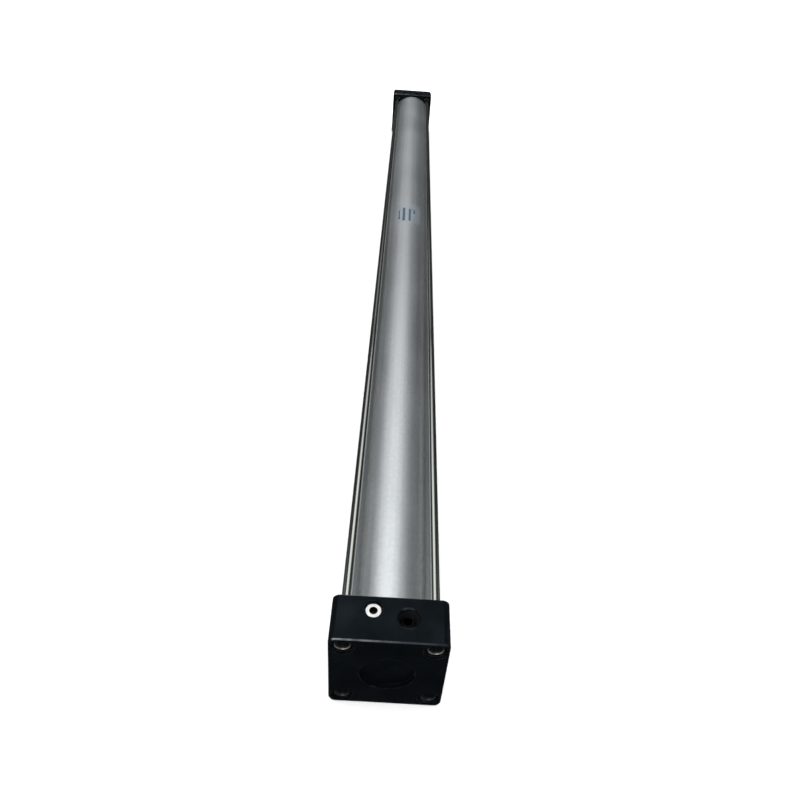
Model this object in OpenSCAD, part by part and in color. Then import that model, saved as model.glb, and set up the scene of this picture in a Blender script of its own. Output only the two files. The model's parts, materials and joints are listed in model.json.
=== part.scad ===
// Double-acting pneumatic cylinder with square end caps held together by four tie rods.
// +X runs along the axis from the rear cap's end face to the rod's tip, and +Z is up.
// The origin is the centre of the rear cap's end face. The piston rod is drawn fully in.

/* [Cylinder] */
// Piston stroke
stroke = 1400; // [200:50:1600]
// Bore of the barrel tube
bore_d = 80; // [79.5:0.1:80]
// Wall thickness of the barrel tube
tube_wall = 2.5; // [2:0.1:2.8]
// How deep the tube's end sits in a cap
tube_seat = 4; // [3:0.5:4]

/* [End caps] */
// Width and height of a square cap
cap_w = 94; // [94:1:98]
// Depth of a cap along the axis
cap_l = 40; // [40:1:42]
// Radius of the caps' long edges
cap_corner_r = 6; // [4:0.5:6]
// Chamfer around a cap's two faces
cap_chamfer = 1; // [0.5:0.25:1]
// Length of the spigot that enters the tube
spigot_l = 8; // [8:0.5:9]
// Diameter of the rear centring recess and of the front collar
centring_d = 45; // [44:0.5:46]
// Depth of the rear centring recess
centring_depth = 4; // [3:0.5:5]
// Length of the front collar
collar_l = 16; // [16:0.5:18]

/* [Air ports] */
// Major diameter of the port thread
port_d = 16.66; // [13.16, 16.66]
// Distance from a cap's end face to its port
port_x = 21.5; // [21:0.5:23]
// Sideways distance from the axis to a port, to the right
port_y = 14.2; // [13:0.2:15]
// Depth of the port thread
port_depth = 12; // [10:0.5:12]

/* [Cushion needles] */
// Diameter of a needle's head
needle_d = 13.3; // [12:0.1:13.4]
// Distance from a cap's end face to its needle
needle_x = 28; // [27.5:0.1:28]
// Sideways distance from the axis to a needle, to the left
needle_y = 13.8; // [13:0.2:15]
// How far a closed needle's head lies below the cap's top
needle_sink = 2.3; // [2:0.1:2.6]
// Diameter of the counterbore around a needle's head
needle_pocket_d = 15; // [14:0.2:15.2]

/* [Tie rods] */
// Spacing of the tie rods, both ways
tie_pitch = 72; // [72:0.5:73]
// Diameter of a tie rod's shank
tie_d = 8.2; // [8:0.1:9]
// Diameter of the tie rod thread and of the mounting thread in the nuts
tie_thread_d = 10; // [9:0.5:10]
// Outer diameter of a tie rod nut
nut_d = 16.6; // [16:0.1:16.8]
// How far a nut's end lies below the cap's face
nut_sink = 2; // [1.5:0.25:2.5]
// Depth of the mounting thread in a nut
mount_thread_l = 16; // [14:0.5:16]
// Diameter of the spot face around a nut
spot_face_d = 19; // [18:0.2:19.6]

/* [Piston rod] */
// Diameter of the piston rod
rod_d = 25; // [24:0.5:25]
// Distance from the front cap's face to the rod's shoulder, rod in
rod_reach = 46; // [46:1:60]
// Diameter of the rod thread
rod_thread_d = 20; // [18:1:20]
// Length of the rod thread
rod_thread_l = 40; // [36:1:44]
// Width across the rod's wrench flats
rod_flats = 22; // [21:0.5:23]
// Width across the lock nut's flats
lock_nut_af = 30; // [28:1:32]
// Thickness of the lock nut
lock_nut_t = 10; // [8:0.5:11]

/* [Label] */
// Length of the label along the barrel
label_l = 70; // [40:1:100]
// Angle that the label wraps around the barrel
label_angle = 55; // [30:1:80]
// Angle from the barrel's top to the label's left edge
label_start = 25; // [0:1:40]
// Thickness of the label
label_t = 0.15; // [0.1:0.05:0.3]

/* [Hidden] */
$fn = 96;
eps = 0.01;                       // overshoot of a cutter past the face that it opens
slip = 0.02;                      // radial gap between pieces that are fixed to each other
run = 0.08;                       // radial gap of a running fit
gap = 0.3;                        // gap between pieces that pass each other
total_l = 2 * cap_l + 2 * spigot_l + stroke + 32; // over both caps
bore_r = bore_d / 2;
tube_r = bore_r + tube_wall;
half_w = cap_w / 2;
tie_c = tie_pitch / 2;            // tie rod's distance from the axis, along Y and Z
spigot_r = bore_r - 0.05;
oring_w = 3.4;                    // width of a spigot's O-ring groove
oring_root = bore_r - 2.8;        // radius of that groove's root
oring_r = 1.3;                    // radius of a spigot O-ring's section
oring_x = cap_l + 4;              // middle of the O-ring groove
chamber_r = 21;                   // cushion chamber
chamber_rear_x = 13;              // where the rear chamber ends
chamber_front_x = 22;             // where the front chamber ends, from the front face
cushion_seal_x = [cap_l + 1, cap_l + 6];
cushion_seal_r = 24;
sleeve_r = 17.5;                  // cushion sleeve
port_r = port_d / 2;
port_drill_r = 4;                 // drilling from a port to its cushion chamber
port_drill_x = 26.2;
port_chamfer = 1.2;
nut_pocket_r = nut_d / 2 + gap;
nut_pocket_l = 31;                // from the end face to the shoulder that the nut bears on
tie_hole_r = tie_thread_d / 2 + 0.25;
tie_end_x = 22;                   // from a cap's end face to the tie rod's tip
tie_thread_end = cap_l - 1;       // where the thread stops, inside the cap
nut_r = nut_d / 2;
socket_x = nut_sink + mount_thread_l;
needle_r = needle_d / 2;
needle_top = half_w - needle_sink;
needle_head_h = 3.2;
needle_thread_r = 5;
needle_oring_z = 31;              // height of the needle's O-ring
needle_oring_r = 4.1;
needle_seat_z = 24;
needle_seat_r = 1.5;
piston_half_l = 15.7;             // half of the piston's length
piston_x = cap_l + spigot_l + gap + piston_half_l; // middle of the piston, rod in
piston_r = bore_r - 0.6;
piston_bore_r = 8;
seal_x = [6.7, 13.2];             // lip seal groove, from the piston's middle
seal_root = bore_r - 7;
guide_half_w = 4;                 // half of the guide ring's width
guide_root = bore_r - 6;
magnet_top = bore_r - 3.4;
piston_oring_r = 1.3;
rod_r = rod_d / 2;
sleeve_l = 22;
bush_r = 15;
bush_x = -5;                      // outer end of the bush, from the front face
rod_seal_r = 17.5;
rod_seal_l = 8;
ring_t = 1.5;                     // retaining ring
shoulder_x = total_l + rod_reach;
thread_r = rod_thread_d / 2;
run_out_l = lock_nut_t + 2;       // run-out under the lock nut, at the thread's core
run_out_r = thread_r - 0.9;
tip_x = shoulder_x + rod_thread_l;
label_x = 0.519 * total_l;      // middle of the label

// ---- Helpers -------------------------------------------------------------------------------

// Turns a profile of [radius, x] points around the X axis.
module turned(points) {
    rotate([0, 90, 0]) rotate_extrude() polygon(points);
}

// A round bar along X.
module bar(r, x0, x1) {
    translate([x0, 0, 0]) rotate([0, 90, 0]) cylinder(r = r, h = x1 - x0);
}

// A ring along X.
module ring(r_out, r_in, x0, x1) {
    turned([[r_in, x0], [r_out, x0], [r_out, x1], [r_in, x1]]);
}

// A cone along X.
module cone(r0, r1, x0, x1) {
    translate([x0, 0, 0]) rotate([0, 90, 0]) cylinder(r1 = r0, r2 = r1, h = x1 - x0);
}

// An upright drilling, from its lower to its upper height.
module drill(r, x, y, z0, z1) {
    translate([x, y, z0]) cylinder(r = r, h = z1 - z0);
}

// A round-section ring around X.
module oring(r_mid, r_section, x) {
    translate([x, 0, 0]) rotate([0, 90, 0]) rotate_extrude() translate([r_mid, 0]) circle(r = r_section, $fn = 32);
}

// A hexagonal bar along X, from its width across flats.
module hex_bar(af, x0, x1) {
    translate([x0, 0, 0]) rotate([0, 90, 0]) cylinder(r = af / sqrt(3), h = x1 - x0, $fn = 6);
}

// A hexagon nut with chamfered corners and a plain hole.
module hex_nut(af, hole_r, x0, x1) {
    corner_r = af / sqrt(3);
    face_r = 0.95 * af / 2;
    rise = (corner_r - face_r) * tan(30);
    difference() {
        intersection() {
            hex_bar(af, x0, x1);
            turned([[0, x0], [face_r, x0], [corner_r + eps, x0 + rise],
                    [corner_r + eps, x1 - rise], [face_r, x1], [0, x1]]);
        }
        bar(hole_r, x0 - 1, x1 + 1);
    }
}

// Places a rear part at the front end, facing the other way.
module at_front() {
    translate([total_l, 0, 0]) mirror([1, 0, 0]) children();
}

// Repeats a part at the four tie rods.
module at_tie_rods() {
    for (y = [-tie_c, tie_c], z = [-tie_c, tie_c]) translate([0, y, z]) children();
}

// ---- End caps ------------------------------------------------------------------------------

// Outline of a cap's side, with both faces' edges chamfered.
function side_outline(c = cap_chamfer) = [
    [0, -half_w + c], [c, -half_w], [cap_l - c, -half_w], [cap_l, -half_w + c],
    [cap_l, half_w - c], [cap_l - c, half_w], [c, half_w], [0, half_w - c]
];

// Square block with round long edges and chamfered faces.
module cap_block() {
    inner = half_w - cap_corner_r;
    translate([0, inner, 0]) rotate([90, 0, 0]) linear_extrude(2 * inner) polygon(side_outline());
    translate([0, 0, -inner]) linear_extrude(2 * inner) polygon(side_outline());
    for (y = [-inner, inner], z = [-inner, inner]) translate([0, y, z])
        turned([[0, 0], [cap_corner_r - cap_chamfer, 0], [cap_corner_r, cap_chamfer],
                [cap_corner_r, cap_l - cap_chamfer], [cap_corner_r - cap_chamfer, cap_l], [0, cap_l]]);
}

// Everything that is cut from either cap, with its end face at x = 0.
module cap_cuts(chamber_x) {
    ring(tube_r + 0.1, spigot_r, cap_l - tube_seat - 0.1, cap_l + eps);
    ring(bore_r + 1, oring_root, oring_x - oring_w / 2, oring_x + oring_w / 2);
    bar(chamber_r, chamber_x, cap_l + spigot_l + 1);
    bar(cushion_seal_r + 0.1, cushion_seal_x[0] - 0.1, cushion_seal_x[1] + 0.1);
    at_tie_rods() {
        bar(spot_face_d / 2, -1, nut_sink);
        bar(nut_pocket_r, -1, nut_pocket_l);
        bar(tie_hole_r, nut_pocket_l - 1, cap_l + 1);
    }
    port_cuts();
    needle_cuts();
}

// Threaded air port and the drilling down to the cushion chamber.
module port_cuts() {
    drill(port_r, port_x, -port_y, half_w - port_depth, half_w + 1);
    translate([port_x, -port_y, half_w - port_chamfer])
        cylinder(r1 = port_r, r2 = port_r + port_chamfer + eps, h = port_chamfer + eps);
    drill(port_drill_r, port_drill_x, -port_y, 8, half_w - port_depth + 1);
}

// Stepped hole of a cushion needle and its seat.
module needle_cuts() {
    drill(needle_pocket_d / 2, needle_x, needle_y, needle_top, half_w + 1);
    drill(needle_r + 0.1, needle_x, needle_y, needle_top - needle_head_h - 0.1, half_w);
    drill(needle_thread_r + 0.1, needle_x, needle_y, needle_seat_z + 4, needle_top);
    drill(3.6, needle_x, needle_y, needle_seat_z, needle_seat_z + 5);
    drill(needle_seat_r, needle_x, needle_y, chamber_r - 8, needle_seat_z + 1);
}

module rear_cap() color([0.10, 0.11, 0.13]) difference() {
    union() {
        cap_block();
        bar(spigot_r, cap_l - tube_seat - 1, cap_l + spigot_l);
    }
    cap_cuts(chamber_rear_x);
    bar(centring_d / 2, -1, centring_depth);
}

module front_cap() color([0.10, 0.11, 0.13]) at_front() difference() {
    union() {
        cap_block();
        bar(spigot_r, cap_l - tube_seat - 1, cap_l + spigot_l);
        bar(centring_d / 2, -collar_l + 1, 1);
        cone(centring_d / 2 - 1, centring_d / 2, -collar_l, -collar_l + 1);
    }
    cap_cuts(chamber_front_x);
    bar(bush_r, bush_x, chamber_front_x + 1);
    bar(rod_seal_r, -collar_l - 1, bush_x);
    bar(rod_seal_r + 1.5, bush_x - rod_seal_l - ring_t - 0.4, bush_x - rod_seal_l - 0.2);
}

// ---- Barrel --------------------------------------------------------------------------------

module barrel_tube() color([0.78, 0.79, 0.80]) {
    x0 = cap_l - tube_seat;
    x1 = total_l - x0;
    c = 0.4;
    turned([[bore_r + c, x0], [tube_r - c, x0], [tube_r, x0 + c], [tube_r, x1 - c],
            [tube_r - c, x1], [bore_r + c, x1], [bore_r, x1 - c], [bore_r, x0 + c]]);
}

module tie_rod(y, z) color([0.82, 0.83, 0.85]) translate([0, y, z]) {
    r = tie_d / 2;
    thread = tie_thread_d / 2;
    c = 1;
    turned([[0, tie_end_x], [thread - c, tie_end_x], [thread, tie_end_x + c], [thread, tie_thread_end],
            [r, tie_thread_end], [r, total_l - tie_thread_end], [thread, total_l - tie_thread_end],
            [thread, total_l - tie_end_x - c], [thread - c, total_l - tie_end_x], [0, total_l - tie_end_x]]);
}

// Round nut: mounting thread outside, hexagon socket behind it, tie rod thread inside.
module tie_rod_nut() {
    thread = tie_thread_d / 2;
    mouth = 1.4;
    difference() {
        turned([[0, nut_sink], [nut_r - 0.6, nut_sink], [nut_r, nut_sink + 0.6], [nut_r, nut_pocket_l],
                [0, nut_pocket_l]]);
        bar(thread, nut_sink - 1, socket_x);
        cone(thread + mouth + eps, thread, nut_sink - eps, nut_sink + mouth);
        hex_bar(8, socket_x - 1, tie_end_x);
        bar(thread + slip, tie_end_x - 1, nut_pocket_l + 1);
    }
}

module rear_tie_rod_nuts() color([0.45, 0.46, 0.48]) at_tie_rods() tie_rod_nut();

module front_tie_rod_nuts() color([0.45, 0.46, 0.48]) at_front() at_tie_rods() tie_rod_nut();

module tube_oring() oring(oring_root + oring_r + 0.15, oring_r, oring_x);

module rear_tube_oring() color([0.08, 0.08, 0.08]) tube_oring();

module front_tube_oring() color([0.08, 0.08, 0.08]) at_front() tube_oring();

// Seal with a lip that the cushion sleeve enters.
module cushion_seal() {
    x0 = cushion_seal_x[0];
    x1 = cushion_seal_x[1];
    lip_r = sleeve_r + run;
    turned([[lip_r + 2.5, x0], [cushion_seal_r, x0], [cushion_seal_r, x1], [lip_r, x1],
            [lip_r, x1 - 2], [lip_r + 2.5, x0 + 1.5]]);
}

module rear_cushion_seal() color([0.12, 0.30, 0.20]) cushion_seal();

module front_cushion_seal() color([0.12, 0.30, 0.20]) at_front() cushion_seal();

module rod_bush() color([0.72, 0.55, 0.30]) at_front()
    ring(bush_r - slip, rod_r + run, bush_x, chamber_front_x);

// Combined rod seal and wiper, with a raised lip around the rod.
module rod_seal() color([0.10, 0.10, 0.11]) at_front() {
    x1 = bush_x - 0.1;
    x0 = x1 - rod_seal_l + 0.2;
    lip_r = rod_r + run;
    turned([[lip_r, x0 - 2], [lip_r + 0.8, x0 - 2], [lip_r + 2.4, x0], [rod_seal_r - slip, x0],
            [rod_seal_r - slip, x1], [lip_r + 1, x1], [lip_r + 0.6, x1 - 3], [lip_r, x1 - 4]]);
}

// Open ring that snaps into the collar's groove.
module retaining_ring() color([0.30, 0.30, 0.31]) at_front() {
    x1 = bush_x - rod_seal_l - 0.3;
    difference() {
        ring(rod_seal_r + 1.45, rod_seal_r - 1.3, x1 - ring_t, x1);
        translate([x1 - ring_t - 1, -2.5, -rod_seal_r - 3]) cube([ring_t + 2, 5, 8]);
    }
}

module label() color([0.80, 0.82, 0.86]) translate([label_x - label_l / 2, 0, 0])
    rotate([0, 90, 0]) rotate([0, 0, 180 - label_start]) rotate_extrude(angle = label_angle)
        translate([tube_r + slip, 0]) square([label_t, label_l]);

// ---- Cushion needles -----------------------------------------------------------------------

// Adjusting screw with a socket head, an O-ring groove and a tapered tip.
module cushion_needle() translate([needle_x, needle_y, 0]) difference() {
    head_z = needle_top - needle_head_h;
    c = 0.5;
    rotate_extrude() polygon([
        [0, needle_seat_z - 2], [1.1, needle_seat_z - 2], [1.1, needle_seat_z + 0.5],
        [2.9, needle_seat_z + 4.2], [needle_thread_r - 0.1, needle_seat_z + 4.5],
        [needle_thread_r - 0.1, needle_oring_z - 1.2], [needle_oring_r - 1.1, needle_oring_z - 1.2],
        [needle_oring_r - 1.1, needle_oring_z + 1.2], [needle_thread_r, needle_oring_z + 1.2],
        [needle_thread_r, head_z], [needle_r, head_z], [needle_r, needle_top - c],
        [needle_r - c, needle_top], [0, needle_top]
    ]);
    translate([0, 0, needle_top - 4]) cylinder(r = 6 / sqrt(3), h = 5, $fn = 6);
}

module rear_cushion_needle() color([0.85, 0.85, 0.83]) cushion_needle();

module front_cushion_needle() color([0.85, 0.85, 0.83]) at_front() cushion_needle();

module needle_oring() translate([needle_x, needle_y, needle_oring_z])
    rotate_extrude() translate([needle_oring_r, 0]) circle(r = 0.9, $fn = 24);

module rear_needle_oring() color([0.08, 0.08, 0.08]) needle_oring();

module front_needle_oring() color([0.08, 0.08, 0.08]) at_front() needle_oring();

// ---- Piston and rod ------------------------------------------------------------------------

module piston_rod() color([0.86, 0.87, 0.88]) difference() {
    x0 = cap_l - 8;
    x1 = piston_x + piston_half_l;
    turned([[0, x0], [piston_bore_r - 1, x0], [piston_bore_r, x0 + 1], [piston_bore_r, x1], [rod_r, x1],
            [rod_r, shoulder_x - 1], [rod_r - 1, shoulder_x], [run_out_r, shoulder_x],
            [run_out_r, shoulder_x + run_out_l], [thread_r, shoulder_x + run_out_l],
            [thread_r, tip_x - 1.5], [thread_r - 1.5, tip_x], [0, tip_x]]);
    for (side = [-1, 1]) translate([shoulder_x - 16, side * (rod_flats / 2 + 5) - 5, -rod_d])
        cube([12, 10, 2 * rod_d]);
    cone(0.2, 2.6, tip_x - 4, tip_x + 0.2);
}

// Half of the piston, from its clamped middle (x = 0) to its outer face.
module piston_half() {
    turned([[piston_bore_r + slip, 0], [guide_root, 0], [guide_root, guide_half_w],
            [piston_r, guide_half_w], [piston_r, seal_x[0]], [seal_root, seal_x[0]],
            [seal_root, seal_x[1]], [piston_r, seal_x[1]], [piston_r, piston_half_l - 1],
            [piston_r - 1, piston_half_l], [piston_bore_r + slip, piston_half_l]]);
}

module piston_rear_half() color([0.70, 0.71, 0.73]) translate([piston_x, 0, 0]) difference() {
    mirror([1, 0, 0]) piston_half();
    ring(piston_bore_r + 2 * piston_oring_r + 0.4, piston_bore_r - 1, -3.2, 1);
}

module piston_front_half() color([0.70, 0.71, 0.73]) translate([piston_x, 0, 0]) piston_half();

module piston_oring() color([0.08, 0.08, 0.08])
    oring(piston_bore_r + piston_oring_r + 0.15, piston_oring_r, piston_x - 1.6);

module magnet_ring() color([0.25, 0.24, 0.25])
    ring(magnet_top, guide_root + slip, piston_x - guide_half_w + 0.1, piston_x + guide_half_w - 0.1);

module guide_ring() color([0.90, 0.88, 0.80]) difference() {
    ring(bore_r - run, magnet_top + gap, piston_x - guide_half_w + gap, piston_x + guide_half_w - gap);
    translate([piston_x - 6, -0.75, bore_r - 6]) cube([12, 1.5, 8]);
}

// U-shaped lip seal that faces the piston's outer end.
module lip_seal() {
    x0 = seal_x[0] + gap;
    x1 = seal_x[1] - gap;
    r0 = seal_root + gap;
    r1 = bore_r - gap;
    mid = (r0 + r1) / 2;
    turned([[r0, x0], [r1 - 0.8, x0], [r1, x1 - 0.5], [r1 - 1.4, x1], [mid + 0.3, x0 + 2.6],
            [mid - 0.3, x0 + 2.6], [r0 + 1.4, x1], [r0, x1]]);
}

module rear_lip_seal() color([0.10, 0.22, 0.32]) translate([piston_x, 0, 0]) mirror([1, 0, 0]) lip_seal();

module front_lip_seal() color([0.10, 0.22, 0.32]) translate([piston_x, 0, 0]) lip_seal();

// Cup that centres the piston nut, and closes the rear chamber at the end of the stroke.
module rear_cushion_sleeve() color([0.68, 0.69, 0.71]) {
    x1 = piston_x - piston_half_l;
    x0 = x1 - 20;
    turned([[14.5, x0], [sleeve_r - 1.5, x0], [sleeve_r, x0 + 3], [sleeve_r, x1],
            [piston_bore_r + slip, x1], [piston_bore_r + slip, x1 - 4], [14.5, x1 - 4]]);
}

module front_cushion_sleeve() color([0.68, 0.69, 0.71]) {
    x0 = piston_x + piston_half_l;
    x1 = x0 + sleeve_l;
    turned([[rod_r + slip, x0], [sleeve_r, x0], [sleeve_r, x1 - 3], [sleeve_r - 1.5, x1], [rod_r + slip, x1]]);
}

module piston_nut() color([0.50, 0.51, 0.53])
    hex_nut(24, piston_bore_r + slip, piston_x - piston_half_l - 13, piston_x - piston_half_l - 4);

module rod_lock_nut() color([0.60, 0.61, 0.62])
    hex_nut(lock_nut_af, run_out_r + slip, shoulder_x + 1, shoulder_x + 1 + lock_nut_t);

// ---- Nodes ---------------------------------------------------------------------------------

rear_cap();
front_cap();
barrel_tube();
tie_rod(tie_c, tie_c);  // tie_rod_upper_left
tie_rod(-tie_c, tie_c);  // tie_rod_upper_right
tie_rod(tie_c, -tie_c);  // tie_rod_lower_left
tie_rod(-tie_c, -tie_c);  // tie_rod_lower_right
rear_tie_rod_nuts();
front_tie_rod_nuts();
rear_tube_oring();
front_tube_oring();
rear_cushion_seal();
front_cushion_seal();
rear_cushion_needle();
front_cushion_needle();
rear_needle_oring();
front_needle_oring();
rod_bush();
rod_seal();
retaining_ring();
label();
piston_rod();
piston_rear_half();
piston_front_half();
piston_oring();
magnet_ring();
rear_cushion_sleeve();
front_cushion_sleeve();
piston_nut();
rod_lock_nut();
rear_lip_seal();
front_lip_seal();
guide_ring();
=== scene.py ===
"""Looks of a tie-rod pneumatic cylinder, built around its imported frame.

Metres, +X along the axis from the rear cap to the rod's tip, +Z up. The origin is on the axis, at the
rear cap's end face.
"""
import json
from math import asin, cos, pi, radians, sin, sqrt, tan

import bmesh
import bpy
from mathutils import Matrix, Vector


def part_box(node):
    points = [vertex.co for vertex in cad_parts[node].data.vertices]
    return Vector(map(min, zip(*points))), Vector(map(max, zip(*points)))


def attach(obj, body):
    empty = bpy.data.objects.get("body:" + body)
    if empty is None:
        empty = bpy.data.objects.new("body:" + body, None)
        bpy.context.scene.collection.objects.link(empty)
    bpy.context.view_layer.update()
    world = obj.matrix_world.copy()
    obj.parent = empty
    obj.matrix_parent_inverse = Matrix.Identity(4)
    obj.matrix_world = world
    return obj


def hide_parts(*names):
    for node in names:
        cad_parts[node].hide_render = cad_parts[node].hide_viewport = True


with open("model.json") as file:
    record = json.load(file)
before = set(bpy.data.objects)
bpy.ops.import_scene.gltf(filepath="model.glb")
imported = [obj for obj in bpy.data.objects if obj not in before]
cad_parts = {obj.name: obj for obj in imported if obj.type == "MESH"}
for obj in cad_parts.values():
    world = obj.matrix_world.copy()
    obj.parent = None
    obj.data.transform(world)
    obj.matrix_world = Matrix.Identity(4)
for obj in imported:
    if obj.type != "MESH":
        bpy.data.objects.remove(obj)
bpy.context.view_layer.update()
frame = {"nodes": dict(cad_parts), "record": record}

MM = 0.001
NODES = frame["nodes"]
MOUNTS = {m["name"]: m for m in frame["record"]["mounts"]}

# ---- Sizes, from the frame --------------------------------------------------------------------

CAP_LO, CAP_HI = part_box("rear_cap")
CAP_W = CAP_HI.y - CAP_LO.y
HALF_W = CAP_W / 2
TUBE_LO, TUBE_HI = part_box("barrel_tube")
TUBE_R = TUBE_HI.z
ROD_LO, ROD_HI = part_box("piston_rod")
LABEL_LO, LABEL_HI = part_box("label")
TOTAL_L = MOUNTS["front_face"]["pos_m"][0]
TIE_C = MOUNTS["rear_bolts"]["dims"]["spacing_x_mm"] * MM / 2
STUD_R = MOUNTS["rear_bolts"]["dims"]["hole_r_mm"] * MM
NEEDLE_LO, NEEDLE_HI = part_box("rear_cushion_needle")
NEEDLE_X, NEEDLE_Y = (NEEDLE_LO.x + NEEDLE_HI.x) / 2, (NEEDLE_LO.y + NEEDLE_HI.y) / 2
NEEDLE_TOP = NEEDLE_HI.z
PORT_R = MOUNTS["rear_port"]["dims"]["r_mm"] * MM
ROD_THREAD_R = MOUNTS["rod_thread"]["dims"]["r_mm"] * MM

TUBE_WALL = 2.5 * MM
TIE_SHANK_R = 4.1 * MM
TIE_THREAD_IN = 39 * MM      # where the tie rod thread stops, from a cap's end face
NUT_FACE = 2 * MM            # how far a tie rod nut lies below the cap's end face
STUD_DEPTH = 16 * MM
PORT_DEPTH = 12 * MM
SPIGOT_R = 8 * MM            # the rod's thinner end, in the piston
FLAT_HALF = 11 * MM          # half the width across the rod's wrench flats
FLAT_FROM = 16 * MM          # the flats' two ends, back from the rod's shoulder
FLAT_TO = 4 * MM
SHOULDER_X = ROD_HI.x - 40 * MM
METRIC_PITCH = 1.5 * MM      # M20 x 1.5 on the rod, M10 x 1.5 in the nuts
PIPE_PITCH = 1.337 * MM      # G3/8
THREAD_SEGMENTS = 64
ROUND_SEGMENTS = 128
CORNER_STEPS = 6


# ---- Meshes -----------------------------------------------------------------------------------

def add_piece(name, verts, faces, material, body, crease=35):
    """Makes a smooth-shaded mesh with sharp edges past the crease angle, and lets it ride on a body."""
    mesh = bpy.data.meshes.new(name)
    mesh.from_pydata([tuple(v) for v in verts], [], faces)
    tidy = bmesh.new()
    tidy.from_mesh(mesh)
    bmesh.ops.remove_doubles(tidy, verts=tidy.verts, dist=1e-7)
    bmesh.ops.dissolve_degenerate(tidy, edges=tidy.edges, dist=1e-8)
    bmesh.ops.recalc_face_normals(tidy, faces=tidy.faces)
    tidy.to_mesh(mesh)
    tidy.free()
    mesh.shade_smooth()
    mesh.set_sharp_from_angle(angle=radians(crease))
    mesh.materials.append(material)
    piece = bpy.data.objects.new(name, mesh)
    bpy.context.scene.collection.objects.link(piece)
    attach(piece, body)
    return piece


def turned(profile, segments=96, y=0.0, z=0.0, clamp_y=None):
    """Verts and faces of a closed profile of (x, radius) points turned around an axis along X.

    clamp_y(x_index) gives the half width to which that ring is flattened, or None.
    """
    verts, faces = [], []
    for i, (x, r) in enumerate(profile):
        limit = clamp_y(i) if clamp_y else None
        for k in range(segments):
            a = 2 * pi * k / segments
            side, up = r * cos(a), r * sin(a)
            if limit is not None:
                side = max(-limit, min(limit, side))
            verts.append((x, y + side, z + up))
    rings = len(profile)
    for i in range(rings):
        j = (i + 1) % rings
        for k in range(segments):
            m = (k + 1) % segments
            faces.append((i * segments + k, i * segments + m, j * segments + m, j * segments + k))
    return verts, faces


def thread_surface(x0, x1, r_root, r_crest, pitch, segments=THREAD_SEGMENTS, flat=0.12, limit=None):
    """A helical thread between two end planes, as verts and faces around the X axis.

    Each turn has a flat root, a flank, a flat crest and a flank. limit(x) caps the radius, for a
    chamfered end.
    """
    marks = ((0.0, r_root), (flat, r_root), (0.5 - flat / 2, r_crest), (0.5 + flat / 2, r_crest))
    per_turn = len(marks)
    turns = int((x1 - x0) / pitch) + 3

    def radius(phase):
        phase %= 1.0
        points = marks + ((1.0, r_root),)
        for (p0, a), (p1, b) in zip(points, points[1:]):
            if phase <= p1:
                return a + (b - a) * (phase - p0) / (p1 - p0)
        return r_root

    rows = turns * per_turn
    verts = []
    for row in range(rows + per_turn):
        turn, mark = divmod(row, per_turn)
        for k in range(segments):
            lead = k / segments
            x = x0 + pitch * (turn - 1.5 + marks[mark][0] + lead)
            clipped = min(max(x, x0), x1)
            r = radius((clipped - x0) / pitch - lead + 1.5)
            if limit:
                r = min(r, limit(clipped))
            a = 2 * pi * lead
            verts.append((clipped, r * cos(a), r * sin(a)))
    faces = []
    for row in range(rows - 1):
        for k in range(segments):
            shift = per_turn if k == segments - 1 else 0
            m = (k + 1) % segments
            corners = (row * segments + k, (row + shift) * segments + m,
                       (row + 1 + shift) * segments + m, (row + 1) * segments + k)
            xs = [verts[c][0] for c in corners]
            if max(xs) - min(xs) > 1e-9:
                faces.append(corners)
    return verts, faces


def moved(mesh, matrix):
    """The same verts and faces, with the verts moved by a matrix."""
    verts, faces = mesh
    return [matrix @ Vector(v) for v in verts], faces


def joined(parts):
    """Several meshes as one list of verts and faces."""
    verts, faces = [], []
    for part_verts, part_faces in parts:
        start = len(verts)
        verts += part_verts
        faces += [tuple(start + i for i in face) for face in part_faces]
    return verts, faces


def thread_sleeve(x0, x1, r_wall, depth, pitch):
    """The ridges of an internal thread, as a thin ring whose outside meets the hole's wall."""
    inner = thread_surface(x0, x1, r_wall - depth, r_wall - 0.05 * MM, pitch)
    n = THREAD_SEGMENTS
    wall = [(x, r_wall * cos(2 * pi * k / n), r_wall * sin(2 * pi * k / n))
            for x in (x0, x1) for k in range(n)]
    faces = [(k, (k + 1) % n, n + (k + 1) % n, n + k) for k in range(n)]
    return joined([inner, (wall, faces)])


def wrapped_sheet(radius, thickness, u0, u1, x0, x1, corner, steps=28):
    """A thin rounded rectangle laid on a cylinder. u is the arc length from the top, towards +Y."""
    us = [u0 + corner * (1 - cos(pi / 2 * i / CORNER_STEPS)) for i in range(CORNER_STEPS)]
    us += [u0 + corner + (u1 - u0 - 2 * corner) * i / steps for i in range(steps + 1)]
    us += [u1 - corner * (1 - cos(pi / 2 * i / CORNER_STEPS)) for i in range(CORNER_STEPS - 1, -1, -1)]
    verts, faces = [], []
    for layer in (radius, radius + thickness):
        for u in us:
            inset = 0.0
            edge = min(u - u0, u1 - u)
            if edge < corner:
                inset = corner - sqrt(max(corner ** 2 - (corner - edge) ** 2, 0.0))
            a = u / radius
            for x in (x0 + inset, x1 - inset):
                verts.append((x, layer * sin(a), layer * cos(a)))
    n = len(us)
    for i in range(n - 1):
        low = (2 * i, 2 * i + 1, 2 * i + 3, 2 * i + 2)
        faces.append(low)
        faces.append(tuple(2 * n + v for v in low))
        faces.append((2 * i, 2 * i + 2, 2 * n + 2 * i + 2, 2 * n + 2 * i))
        faces.append((2 * i + 1, 2 * i + 3, 2 * n + 2 * i + 3, 2 * n + 2 * i + 1))
    for i in (0, n - 1):
        faces.append((2 * i, 2 * i + 1, 2 * n + 2 * i + 1, 2 * n + 2 * i))
    return verts, faces


# ---- Materials --------------------------------------------------------------------------------

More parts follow.
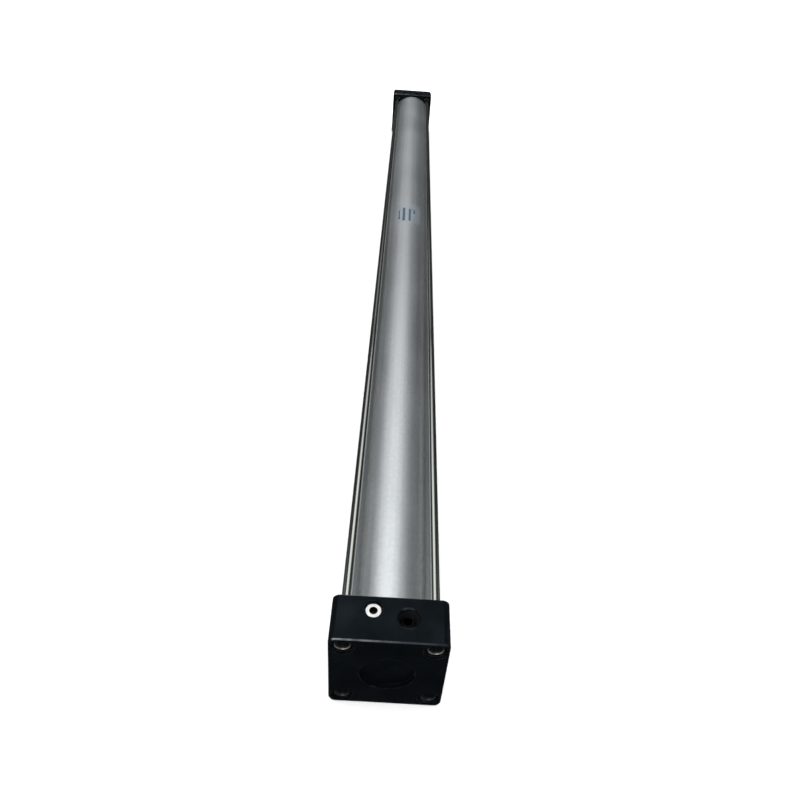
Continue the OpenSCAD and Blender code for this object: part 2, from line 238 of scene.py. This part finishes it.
class Shader:
    """A material's node tree, with a short call for each kind of node used here."""

    def __init__(self, name, metallic, roughness, colour, specular=0.5):
        self.material = bpy.data.materials.new(name)
        self.material.use_nodes = True
        self.tree = self.material.node_tree
        self.surface = self.tree.nodes["Principled BSDF"]
        self.surface.inputs["Metallic"].default_value = metallic
        self.surface.inputs["Roughness"].default_value = roughness
        self.surface.inputs["Base Color"].default_value = (*colour, 1)
        self.surface.inputs["Specular IOR Level"].default_value = specular
        self.place = self.node("ShaderNodeTexCoord").outputs["Object"]

    def node(self, kind, **settings):
        made = self.tree.nodes.new(kind)
        for key, value in settings.items():
            setattr(made, key, value)
        return made

    def feed(self, socket, value):
        """Links an output to an input, or sets the input's own value."""
        if isinstance(value, bpy.types.NodeSocket):
            self.tree.links.new(value, socket)
        elif isinstance(value, tuple) and len(value) == 3 and socket.type == "RGBA":
            socket.default_value = (*value, 1)
        else:
            socket.default_value = value

    def stretched(self, scale):
        """Object coordinates scaled by a vector, such as for grain along X."""
        mapping = self.node("ShaderNodeMapping")
        self.feed(mapping.inputs["Vector"], self.place)
        self.feed(mapping.inputs["Scale"], scale)
        return mapping.outputs["Vector"]

    def noise(self, scale, detail=3.0, roughness=0.55, vector=None):
        made = self.node("ShaderNodeTexNoise")
        self.feed(made.inputs["Vector"], vector or self.place)
        self.feed(made.inputs["Scale"], scale)
        self.feed(made.inputs["Detail"], detail)
        self.feed(made.inputs["Roughness"], roughness)
        return made.outputs["Fac"]

    def remap(self, value, low, high, to_low, to_high):
        made = self.node("ShaderNodeMapRange")
        for socket, setting in zip(made.inputs, (value, low, high, to_low, to_high)):
            self.feed(socket, setting)
        return made.outputs["Result"]

    def math(self, operation, a, b):
        made = self.node("ShaderNodeMath", operation=operation)
        self.feed(made.inputs[0], a)
        self.feed(made.inputs[1], b)
        return made.outputs[0]

    def distance(self, a, b):
        square = self.math("ADD", self.math("MULTIPLY", a, a), self.math("MULTIPLY", b, b))
        return self.math("SQRT", square, 0.0)

    def mix(self, share, a, b):
        made = self.node("ShaderNodeMix", data_type="RGBA")
        self.feed(made.inputs[0], share)
        self.feed(made.inputs[6], a)
        self.feed(made.inputs[7], b)
        return made.outputs[2]

    def axes(self):
        """The object coordinates as three outputs."""
        split = self.node("ShaderNodeSeparateXYZ")
        self.feed(split.inputs[0], self.place)
        return split.outputs

    def edges(self, radius):
        """1 on sharp edges, 0 on flat stretches."""
        bevel = self.node("ShaderNodeBevel", samples=6)
        self.feed(bevel.inputs["Radius"], radius)
        facing = self.node("ShaderNodeVectorMath", operation="DOT_PRODUCT")
        self.feed(facing.inputs[0], bevel.outputs["Normal"])
        self.feed(facing.inputs[1], self.node("ShaderNodeNewGeometry").outputs["Normal"])
        return self.remap(facing.outputs["Value"], 0.995, 0.80, 0.0, 1.0)

    def painted_chamfer_highlight(self):
        """Painted highlight on upward chamfers that face along X, most of it towards +Y, in patches."""
        normal = self.node("ShaderNodeSeparateXYZ")
        self.feed(normal.inputs[0], self.node("ShaderNodeTexCoord").outputs["Normal"])
        slope = self.math("MULTIPLY", self.math("ABSOLUTE", normal.outputs[0], 0.0), normal.outputs[2])
        chamfer = self.remap(slope, 0.40, 0.47, 0.0, 1.0)
        side = self.remap(self.axes()[1], -0.3 * HALF_W, 0.8 * HALF_W, 0.14, 0.85)
        patches = self.remap(self.noise(95, 3), 0.35, 0.6, 0.35, 1.0)
        return self.math("MULTIPLY", chamfer, self.math("MULTIPLY", side, patches))

    def bump(self, height, distance, strength=1.0, rounding=None):
        """Feeds a bump to the surface. Where rounding gives a radius, edges look rounded too."""
        made = self.node("ShaderNodeBump")
        self.feed(made.inputs["Height"], height)
        self.feed(made.inputs["Distance"], distance)
        self.feed(made.inputs["Strength"], strength)
        if rounding:
            bevel = self.node("ShaderNodeBevel", samples=4)
            self.feed(bevel.inputs["Radius"], rounding)
            self.feed(made.inputs["Normal"], bevel.outputs["Normal"])
        self.feed(self.surface.inputs["Normal"], made.outputs["Normal"])

    def colour(self, value):
        self.feed(self.surface.inputs["Base Color"], value)

    def roughness(self, value):
        self.feed(self.surface.inputs["Roughness"], value)


def black_anodised():
    """Caps: satin black anodising over blasted aluminium, a little paler and worn along its edges, with a
    painted highlight on the upward chamfers.
    """
    s = Shader("cap_black_anodised", 0.0, 0.40, (0.002, 0.003, 0.004), specular=0.105)
    s.surface.inputs["Specular Tint"].default_value = (0.62, 0.86, 1.0, 1)
    clouds = s.remap(s.noise(38, 4), 0.35, 0.70, 0.0, 1.0)
    blasted = s.noise(2600, 2)
    handled = s.remap(s.noise(30, 3), 0.38, 0.66, 0.0, 1.0)
    worn = s.math("MULTIPLY", s.edges(0.4 * MM), s.remap(s.noise(160, 3), 0.42, 0.62, 0.1, 1.0))
    skin = s.mix(clouds, (0.0006, 0.0009, 0.0013), (0.0018, 0.0028, 0.0040))
    skin = s.mix(s.remap(blasted, 0.3, 0.7, 0.0, 0.2), skin, (0.003, 0.004, 0.0055))
    skin = s.mix(s.math("MULTIPLY", worn, 0.5), skin, (0.10, 0.105, 0.115))
    # The upward chamfers take a pale colour here as a painted highlight.
    s.colour(s.mix(s.painted_chamfer_highlight(), skin, (0.16, 0.17, 0.185)))
    rough = s.remap(handled, 0.0, 1.0, 0.62, 0.30)
    s.roughness(s.math("ADD", rough, s.remap(blasted, 0.3, 0.7, -0.05, 0.06)))
    s.bump(blasted, 0.035 * MM, 0.5, rounding=0.25 * MM)
    return s.material


def satin_tube():
    """Barrel: clear anodised aluminium with fine drawn lines along the axis and a few handling marks."""
    s = Shader("tube_satin_anodised", 1.0, 0.42, (0.80, 0.81, 0.82))
    fine = s.noise(1.0, 3, 0.6, s.stretched((4, 2600, 2600)))
    broad = s.noise(1.0, 2, 0.5, s.stretched((1.2, 190, 190)))
    cloud = s.noise(11, 3)
    scuffs = s.remap(s.noise(1.0, 2, 0.7, s.stretched((55, 700, 700))), 0.70, 0.78, 0.0, 1.0)
    tone = s.mix(s.remap(fine, 0.3, 0.7, 0.0, 1.0), (0.70, 0.73, 0.755), (0.81, 0.84, 0.86))
    tone = s.mix(s.remap(broad, 0.35, 0.65, 0.0, 0.45), tone, (0.62, 0.65, 0.67))
    mottled = s.remap(s.noise(240, 3, 0.6), 0.38, 0.62, 0.0, 0.5)
    tone = s.mix(mottled, tone, (0.63, 0.66, 0.685))
    s.colour(s.mix(s.math("MULTIPLY", scuffs, 0.35), tone, (0.58, 0.59, 0.60)))
    rough = s.remap(cloud, 0.3, 0.7, 0.415, 0.475)
    rough = s.math("ADD", rough, s.remap(fine, 0.3, 0.7, -0.035, 0.035))
    s.roughness(s.math("ADD", rough, s.math("MULTIPLY", scuffs, 0.06)))
    s.bump(fine, 0.006 * MM, 0.5)
    return s.material


def bar_steel(name, colour, rough, grain, streak_scale=(6, 1800, 1800)):
    """Drawn or ground bar: streaks along X in colour and roughness."""
    s = Shader(name, 1.0, rough, colour)
    streaks = s.noise(1.0, 3, 0.6, s.stretched(streak_scale))
    cloud = s.noise(24, 3)
    darker = tuple(0.84 * c for c in colour)
    s.colour(s.mix(s.remap(streaks, 0.35, 0.65, 0.0, 0.8), colour, darker))
    s.roughness(s.math("ADD", s.remap(cloud, 0.3, 0.7, rough * 0.85, rough * 1.25),
                       s.remap(streaks, 0.3, 0.7, -grain, grain)))
    s.bump(streaks, 0.003 * MM, 0.4)
    return s.material


def ground_chrome():
    """Piston rod: hard chrome, ground around, so its fine lines run round the bar."""
    return bar_steel("rod_hard_chrome", (0.76, 0.77, 0.785), 0.10, 0.02, (5200, 60, 60))


def turned_steel(name, colour, rough, grain_scale, wear=(0.62, 0.62, 0.61), mask=None, under_mask=None):
    """Small turned or plated steel pieces, with fine grain and brighter edges.

    mask(shader) gives 1 where the surface has the colour under_mask instead.
    """
    s = Shader(name, 1.0, rough, colour)
    grain = s.noise(grain_scale, 3, 0.6)
    stain = s.noise(240, 3)
    rubbed = s.math("MULTIPLY", s.edges(0.25 * MM), s.remap(s.noise(700, 2), 0.35, 0.6, 0.3, 1.0))
    darker = tuple(0.72 * c for c in colour)
    tone = s.mix(s.remap(stain, 0.35, 0.7, 0.0, 0.7), colour, darker)
    tone = s.mix(s.math("MULTIPLY", rubbed, 0.7), tone, wear)
    s.colour(s.mix(mask(s), tone, under_mask) if mask else tone)
    s.roughness(s.math("ADD", s.remap(stain, 0.3, 0.7, rough * 0.85, rough * 1.2),
                       s.remap(grain, 0.3, 0.7, -0.04, 0.05)))
    s.bump(grain, 0.008 * MM, 0.5, rounding=0.12 * MM)
    return s.material


def needle_painted_shade(s):
    """1 in a cushion needle's socket, on the countersink around it, past the head's rounded rim and below
    its top face, where the needle is painted near black as painted shade.
    """
    x, y, z = s.axes()
    from_middle = s.math("ABSOLUTE", s.math("SUBTRACT", x, TOTAL_L / 2), 0.0)
    off_x = s.math("SUBTRACT", from_middle, TOTAL_L / 2 - NEEDLE_X)
    off_y = s.math("SUBTRACT", y, NEEDLE_Y)
    radius = s.distance(off_x, off_y)
    socket = s.remap(radius, 3.5 * MM, 3.3 * MM, 0.0, 1.0)
    rim = s.remap(radius, 6.2 * MM, 6.4 * MM, 0.0, 1.0)
    below = s.remap(z, NEEDLE_TOP - 0.03 * MM, NEEDLE_TOP - 0.08 * MM, 0.0, 1.0)
    return s.math("MAXIMUM", below, s.math("MAXIMUM", socket, rim))


def nut_mouth_with_painted_shade(s):
    """1 on the machined chamfer at the mouth of each tie rod nut's mounting thread, turned down to 0.12 on
    the lower nuts as painted shade.
    """
    x, y, z = s.axes()
    off_y = s.math("SUBTRACT", s.math("ABSOLUTE", y, 0.0), TIE_C)
    off_z = s.math("SUBTRACT", s.math("ABSOLUTE", z, 0.0), TIE_C)
    radius = s.distance(off_y, off_z)
    inside = s.remap(radius, STUD_R + 1.45 * MM, STUD_R + 1.35 * MM, 0.0, 1.0)
    rim = s.remap(radius, STUD_R + 0.65 * MM, STUD_R + 0.80 * MM, 0.0, 1.0)
    # The lower nuts' chamfers are made darker as painted shade.
    inside = s.math("MULTIPLY", inside, s.math("MULTIPLY", rim, s.remap(z, -0.03, 0.01, 0.12, 1.0)))
    from_middle = s.math("ABSOLUTE", s.math("SUBTRACT", x, TOTAL_L / 2), 0.0)
    face = TOTAL_L / 2 - NUT_FACE
    near_face = s.remap(from_middle, face - 1.5 * MM, face - 1.3 * MM, 0.0, 1.0)
    return s.math("MULTIPLY", inside, near_face)


def moulded(name, colour, rough, specular=0.5, grain_scale=1400):
    """Rubber, urethane and plastic pieces, with a fine moulded grain and a dusty variation."""
    s = Shader(name, 0.0, rough, colour, specular)
    grain = s.noise(grain_scale, 3)
    dust = s.noise(120, 3)
    paler = tuple(min(1.0, 1.5 * c + 0.002) for c in colour)
    s.colour(s.mix(s.remap(dust, 0.4, 0.7, 0.0, 0.8), colour, paler))
    s.roughness(s.remap(grain, 0.3, 0.7, rough - 0.06, rough + 0.06))
    s.bump(grain, 0.02 * MM, 0.5)
    return s.material


def sintered_bronze():
    """Rod bush: porous bronze with dark pores."""
    s = Shader("bush_sintered_bronze", 1.0, 0.38, (0.60, 0.42, 0.22))
    pores = s.remap(s.noise(3800, 2, 0.7), 0.58, 0.68, 0.0, 1.0)
    s.colour(s.mix(pores, (0.62, 0.44, 0.23), (0.20, 0.13, 0.07)))
    s.roughness(s.remap(pores, 0.0, 1.0, 0.34, 0.62))
    s.bump(pores, -0.02 * MM, 0.6)
    return s.material


def label_film():
    """Label: silvery film with a faint cool cast and a slightly uneven gloss."""
    s = Shader("label_silver_film", 0.92, 0.40, (0.62, 0.68, 0.74))
    cloud = s.noise(90, 3)
    fibres = s.noise(1.0, 2, 0.5, s.stretched((420, 90, 90)))
    s.colour(s.mix(s.remap(cloud, 0.35, 0.65, 0.0, 1.0), (0.55, 0.61, 0.67), (0.64, 0.69, 0.73)))
    s.roughness(s.remap(fibres, 0.3, 0.7, 0.36, 0.46))
    s.bump(cloud, 0.02 * MM, 0.4)
    return s.material


def label_ink():
    """Print on the label: dark blue ink, a little thin in places."""
    s = Shader("label_blue_ink", 0.0, 0.45, (0.028, 0.055, 0.085))
    thin = s.noise(900, 3)
    s.colour(s.mix(s.remap(thin, 0.45, 0.75, 0.0, 0.8), (0.022, 0.045, 0.072), (0.075, 0.12, 0.16)))
    s.roughness(s.remap(thin, 0.3, 0.7, 0.38, 0.52))
    return s.material


# The nuts' machined mouth chamfers are paler steel, painted darker on the lower nuts as painted shade.
STEEL_DARK = turned_steel("nut_blackened_steel", (0.032, 0.034, 0.038), 0.40, 1800, (0.30, 0.31, 0.32),
                          nut_mouth_with_painted_shade, (0.36, 0.36, 0.35))
PORT_DARK = moulded("port_thread_anodised", (0.002, 0.0022, 0.0026), 0.5, 0.12)
# The nut threads are near black as painted shade in the holes.
THREAD_PAINTED_SHADE = moulded("nut_thread_painted_shade", (0.003, 0.003, 0.0035), 0.5, 0.12, 2600)
STEEL_TIE = bar_steel("tie_rod_polished", (0.44, 0.455, 0.43), 0.13, 0.03)
CHROME = ground_chrome()
# The needle's socket, rim and sides below its face are painted near black as painted shade.
NICKEL = turned_steel("needle_bright_nickel", (0.74, 0.735, 0.72), 0.33, 2400, (0.80, 0.79, 0.78),
                      needle_painted_shade, (0.02, 0.02, 0.021))
ZINC = turned_steel("lock_nut_bright_zinc", (0.60, 0.61, 0.62), 0.32, 1500)
SPRING_STEEL = turned_steel("ring_phosphated", (0.085, 0.085, 0.09), 0.42, 2200, wear=(0.35, 0.35, 0.36))
ALUMINIUM = turned_steel("piston_turned_aluminium", (0.66, 0.67, 0.69), 0.34, 1600,
                         wear=(0.80, 0.80, 0.81))
CAP_BLACK = black_anodised()
TUBE_SATIN = satin_tube()
RUBBER = moulded("seal_nitrile", (0.022, 0.022, 0.024), 0.55, 0.4)
URETHANE = moulded("seal_urethane", (0.030, 0.085, 0.14), 0.38, 0.5, 900)
ACETAL = moulded("guide_acetal", (0.72, 0.70, 0.62), 0.42, 0.45, 1100)
FERRITE = moulded("magnet_ferrite", (0.055, 0.052, 0.056), 0.60, 0.35, 2200)
BRONZE = sintered_bronze()
FILM = label_film()
INK = label_ink()

NODE_MATERIALS = {
    CAP_BLACK: ["rear_cap", "front_cap"],
    STEEL_DARK: ["rear_tie_rod_nuts", "front_tie_rod_nuts"],
    NICKEL: ["rear_cushion_needle", "front_cushion_needle"],
    ZINC: ["rod_lock_nut", "piston_nut"],
    SPRING_STEEL: ["retaining_ring"],
    ALUMINIUM: ["piston_rear_half", "piston_front_half", "rear_cushion_sleeve", "front_cushion_sleeve"],
    RUBBER: ["rear_tube_oring", "front_tube_oring", "rear_needle_oring", "front_needle_oring",
             "piston_oring"],
    URETHANE: ["rear_cushion_seal", "front_cushion_seal", "rod_seal", "rear_lip_seal", "front_lip_seal"],
    ACETAL: ["guide_ring"],
    FERRITE: ["magnet_ring"],
    BRONZE: ["rod_bush"],
}


def dress_nodes():
    """Gives each CAD node that stays its finished material."""
    for material, names in NODE_MATERIALS.items():
        for name in names:
            slots = NODES[name].data.materials
            slots.clear()
            slots.append(material)


# ---- Pieces -----------------------------------------------------------------------------------

def make_barrel():
    """The tube at full roundness, with its chamfered ends inside the caps."""
    c = 0.4 * MM
    x0, x1, r, bore = TUBE_LO.x, TUBE_HI.x, TUBE_R, TUBE_R - TUBE_WALL
    profile = [(x0, bore + c), (x0, r - c), (x0 + c, r), (x1 - c, r), (x1, r - c), (x1, bore + c),
               (x1 - c, bore), (x0 + c, bore)]
    tube = add_piece("barrel_satin_tube", *turned(profile, 256), TUBE_SATIN, "barrel")
    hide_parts("barrel_tube")


def make_tie_rods():
    """Four polished bars with rolled thread at both ends, inside the caps."""
    for name, side, up in (("upper_left", 1, 1), ("upper_right", -1, 1),
                           ("lower_left", 1, -1), ("lower_right", -1, -1)):
        lo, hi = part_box("tie_rod_" + name)
        c = 1 * MM
        t0, t1 = TIE_THREAD_IN, TOTAL_L - TIE_THREAD_IN
        profile = [(lo.x, 0.0), (lo.x, STUD_R - c), (lo.x + c, STUD_R), (t0, STUD_R),
                   (t0 + 0.5 * MM, TIE_SHANK_R), (t1 - 0.5 * MM, TIE_SHANK_R), (t1, STUD_R),
                   (hi.x - c, STUD_R), (hi.x, STUD_R - c), (hi.x, 0.0)]
        rod = add_piece("tie_rod_%s_polished" % name, *turned(profile, 64, side * TIE_C, up * TIE_C),
                        STEEL_TIE, "barrel")
        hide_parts("tie_rod_" + name)


def make_piston_rod():
    """Rod with wrench flats, a cut thread, a chamfered tip and a centre drilling."""
    r = ROD_HI.y
    tip = ROD_HI.x
    step_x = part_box("piston_front_half")[1].x
    f0, f1 = SHOULDER_X - FLAT_FROM, SHOULDER_X - FLAT_TO
    root = ROD_THREAD_R - 0.92 * MM
    chamfer = 1.5 * MM
    # Rings 6 and 7 are the flats' two ends, and have a round ring at the same place.
    profile = [(ROD_LO.x, 0.0), (ROD_LO.x, SPIGOT_R - MM), (ROD_LO.x + MM, SPIGOT_R), (step_x, SPIGOT_R),
               (step_x, r), (f0, r), (f0, r), (f1, r), (f1, r),
               (SHOULDER_X - MM, r), (SHOULDER_X, r - MM), (SHOULDER_X, root)]
    flats = {6: FLAT_HALF, 7: FLAT_HALF}
    verts, faces = turned(profile, ROUND_SEGMENTS, clamp_y=flats.get)
    faces = faces[:-ROUND_SEGMENTS]     # the last ring joins the thread, not the first ring
    thread = thread_surface(SHOULDER_X, tip, root, ROD_THREAD_R, METRIC_PITCH, ROUND_SEGMENTS,
                            limit=lambda x: min(ROD_THREAD_R, ROD_THREAD_R - chamfer + (tip - x)))
    centre_r, centre_depth = 2.6 * MM, 4 * MM
    bottom = tip - centre_depth
    nose = [(tip, root), (tip, centre_r), (bottom, 0.2 * MM), (bottom, 0.0)]
    end_verts, end_faces = turned(nose, ROUND_SEGMENTS)
    end = (end_verts, end_faces[:-ROUND_SEGMENTS])
    rod = add_piece("piston_rod_chromed", *joined([(verts, faces), thread, end]), CHROME, "rod")
    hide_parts("piston_rod")


def make_port_threads():
    """The ridges of the pipe thread in both air ports."""
    upright = Matrix.Rotation(-pi / 2, 4, "Y")
    for end in ("rear", "front"):
        x, y, _ = MOUNTS[end + "_port"]["pos_m"]
        sleeve = thread_sleeve(0, PORT_DEPTH - 2 * MM, PORT_R, 0.85 * MM, PIPE_PITCH)
        place = Matrix.Translation((x, y, HALF_W - PORT_DEPTH)) @ upright
        piece = add_piece(end + "_port_thread", *moved(sleeve, place), PORT_DARK, "barrel")


def make_nut_threads():
    """The ridges of the mounting thread in the eight tie rod nuts, near black as painted shade."""
    mouth = 1.5 * MM
    for end in ("rear", "front"):
        sleeves = []
        x0, x1 = NUT_FACE + mouth, NUT_FACE + STUD_DEPTH
        if end == "front":
            x0, x1 = TOTAL_L - x1, TOTAL_L - x0
        for side in (-1, 1):
            for up in (-1, 1):
                sleeve = thread_sleeve(x0, x1, STUD_R, 0.8 * MM, METRIC_PITCH)
                sleeves.append(moved(sleeve, Matrix.Translation((0, side * TIE_C, up * TIE_C))))
        piece = add_piece(end + "_nut_threads", *joined(sleeves), THREAD_PAINTED_SHADE, "barrel")


def make_label():
    """A silvery film label on the barrel with four plain printed bars."""
    lift = 0.03 * MM
    film_t = 0.12 * MM
    right = -TUBE_R * asin(-LABEL_LO.y / TUBE_R)
    left = TUBE_R * asin(LABEL_HI.y / TUBE_R)
    sheet = wrapped_sheet(TUBE_R + lift, film_t, right, left, LABEL_LO.x, LABEL_HI.x, 3 * MM)
    film = add_piece("label_film", *sheet, FILM, "barrel")
    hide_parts("label")
    ink_t = 0.015 * MM
    bars = []
    # Each bar's middle and width around the barrel, and its two ends along the label, in mm.
    # The first bar has a thicker head.
    for middle, width, start, end in ((13.4, 3.0, 12, 18), (13.4, 1.9, 18, 46), (5.9, 4.4, 4, 56),
                                      (-3.9, 3.6, 4, 51), (-11.6, 2.6, 34, 50)):
        half = width / 2 * MM
        bars.append(wrapped_sheet(TUBE_R + lift + film_t, ink_t, middle * MM - half, middle * MM + half,
                                  LABEL_LO.x + start * MM, LABEL_LO.x + end * MM, 0.5 * MM, steps=4))
    ink = add_piece("label_bars", *joined(bars), INK, "barrel")


# ---- Studio -----------------------------------------------------------------------------------

def make_floor():
    """A wide pale floor just below the caps, left out of reflections so that metal keeps its dark sides."""
    size = 200.0
    mesh = bpy.data.meshes.new("floor")
    z = CAP_LO.z - 0.5 * MM
    corners = [(-size, -size, z), (size, -size, z), (size, size, z), (-size, size, z)]
    mesh.from_pydata(corners, [], [(0, 1, 2, 3)])
    s = Shader("floor_pale", 0.0, 0.9, (0.90, 0.90, 0.90), specular=0.0)
    s.colour(s.mix(s.noise(0.8, 2), (0.89, 0.89, 0.89), (0.91, 0.91, 0.91)))
    mesh.materials.append(s.material)
    floor = bpy.data.objects.new("floor", mesh)
    bpy.context.scene.collection.objects.link(floor)
    floor.visible_glossy = False


def softbox(name, place, target, size_x, size_y, radiance):
    """A rectangular area light of a given brightness, aimed at a point. The camera doesn't see it."""
    light = bpy.data.lights.new(name, "AREA")
    light.shape = "RECTANGLE"
    light.size, light.size_y = size_x, size_y
    light.energy = radiance * pi * size_x * size_y
    lamp = bpy.data.objects.new(name, light)
    bpy.context.scene.collection.objects.link(lamp)
    lamp.location = place
    lamp.rotation_euler = (Vector(target) - Vector(place)).to_track_quat("-Z", "Y").to_euler()
    lamp.visible_camera = False
    return lamp


def make_lights():
    """Soft boxes overhead, ahead, at both sides and behind, and an even glow that only matt surfaces show.

    The boxes overhead and ahead lie a little to the left of the axis. They get dimmer further ahead and
    towards the floor.
    """
    tilt = tan(radians(11))
    height = 5.0
    ahead_x = 7.6
    for name, x0, x1, width, radiance in (("box_overhead", -2.8, 4.0, 4.0, 1.60),
                                          ("box_overhead_far", 4.0, 5.6, 4.0, 1.55),
                                          ("box_overhead_farthest", 5.6, 7.6, 4.0, 1.05),
                                          ("box_overhead_wide", -2.8, 7.6, 7.0, 0.42)):
        x = (x0 + x1) / 2
        ceiling = softbox(name, (x, height * tilt, height), (x, height * tilt, 0), x1 - x0, width, radiance)
        ceiling.rotation_euler = (0, 0, 0)
    for name, low, high, radiance in (("box_ahead_high", 3.2, 4.6, 0.40),
                                      ("box_ahead_low", 1.0, 3.2, 0.02)):
        z = (low + high) / 2
        card = softbox(name, (ahead_x, z * tilt, z), (0, z * tilt, z), 0.7 * z, high - low, radiance)
        card.rotation_euler = (pi / 2, 0, pi / 2)
    for side, name, tint in ((1, "left", (0.97, 0.95, 1.0)), (-1, "right", (0.88, 1.0, 0.93))):
        card = softbox("box_" + name, (0.8, 5.0 * side, 1.9), (0.8, 0, 0), 6.0, 2.4, 0.08)
        card.data.color = tint
    softbox("box_behind", (-4.3, 1.0, 2.6), (0, 0.05, 0), 2.0, 0.9, 6.5)
    # A sun 130 degrees wide lights the floor evenly, and leaves the shiny metal to the boxes.
    sun = bpy.data.lights.new("even_glow", "SUN")
    sun.energy = 4.0
    sun.angle = radians(130)
    lamp = bpy.data.objects.new("even_glow", sun)
    bpy.context.scene.collection.objects.link(lamp)
    lamp.rotation_euler = (radians(6), radians(-4), 0)
    lamp.visible_glossy = False


def make_world():
    """Pale behind the object; in its reflections a dim room with pale walls at both sides and behind."""
    world = bpy.data.worlds.new("studio")
    bpy.context.scene.world = world
    world.use_nodes = True
    tree = world.node_tree
    room = tree.nodes["Background"]
    way = tree.nodes.new("ShaderNodeTexCoord")
    parts = tree.nodes.new("ShaderNodeSeparateXYZ")
    tree.links.new(way.outputs["Generated"], parts.inputs[0])

    def math(operation, a, b=0.0):
        made = tree.nodes.new("ShaderNodeMath")
        made.operation = operation
        for socket, value in zip(made.inputs, (a, b)):
            if isinstance(value, float):
                socket.default_value = value
            else:
                tree.links.new(value, socket)
        return made.outputs[0]

    def ramp(value, low, high):
        made = tree.nodes.new("ShaderNodeMapRange")
        made.interpolation_type = "SMOOTHSTEP"
        tree.links.new(value, made.inputs["Value"])
        made.inputs["From Min"].default_value = low
        made.inputs["From Max"].default_value = high
        return made.outputs["Result"]

    # The side walls are far out, so that they hardly show on the barrel from the scene's camera.
    sideways = math("ABSOLUTE", parts.outputs["Y"])
    behind = math("MULTIPLY", ramp(parts.outputs["X"], -0.1, -0.6), ramp(sideways, 0.30, 0.60))
    walls = math("MAXIMUM", ramp(sideways, 0.70, 0.96), behind)
    shade = tree.nodes.new("ShaderNodeMix")
    shade.data_type = "RGBA"
    tree.links.new(walls, shade.inputs[0])
    shade.inputs[6].default_value = (0.047, 0.050, 0.050, 1)
    shade.inputs[7].default_value = (0.42, 0.43, 0.43, 1)
    tree.links.new(shade.outputs[2], room.inputs["Color"])
    pale = tree.nodes.new("ShaderNodeBackground")
    pale.inputs["Color"].default_value = (1, 1, 1, 1)
    path = tree.nodes.new("ShaderNodeLightPath")
    mix = tree.nodes.new("ShaderNodeMixShader")
    tree.links.new(path.outputs["Is Camera Ray"], mix.inputs[0])
    tree.links.new(room.outputs[0], mix.inputs[1])
    tree.links.new(pale.outputs[0], mix.inputs[2])
    tree.links.new(mix.outputs[0], tree.nodes["World Output"].inputs["Surface"])


def make_camera():
    """Behind and above the rear cap, looking forward along the cylinder and down, with a slight roll."""
    place = CAP_W * Vector((-2.952, 0.1345, 5.4005))
    yaw, pitch, roll = -0.02271, -0.68194, 0.07713
    forward = Vector((cos(pitch) * cos(yaw), cos(pitch) * sin(yaw), sin(pitch)))
    level = forward.cross(Vector((0, 0, 1))).normalized()
    upright = level.cross(forward)
    right = cos(roll) * level + sin(roll) * upright
    up = cos(roll) * upright - sin(roll) * level
    data = bpy.data.cameras.new("camera")
    data.sensor_width = 36.0
    data.lens = 30.21
    data.clip_start, data.clip_end = 0.01, 100.0
    camera = bpy.data.objects.new("camera", data)
    bpy.context.scene.collection.objects.link(camera)
    camera.matrix_world = Matrix.Translation(place) @ Matrix((right, up, -forward)).transposed().to_4x4()
    bpy.context.scene.camera = camera


make_camera()
dress_nodes()
make_barrel()
make_tie_rods()
make_piston_rod()
make_port_threads()
make_nut_threads()
make_label()
make_floor()
make_lights()
make_world()
bpy.context.scene.view_settings.view_transform = "Standard"
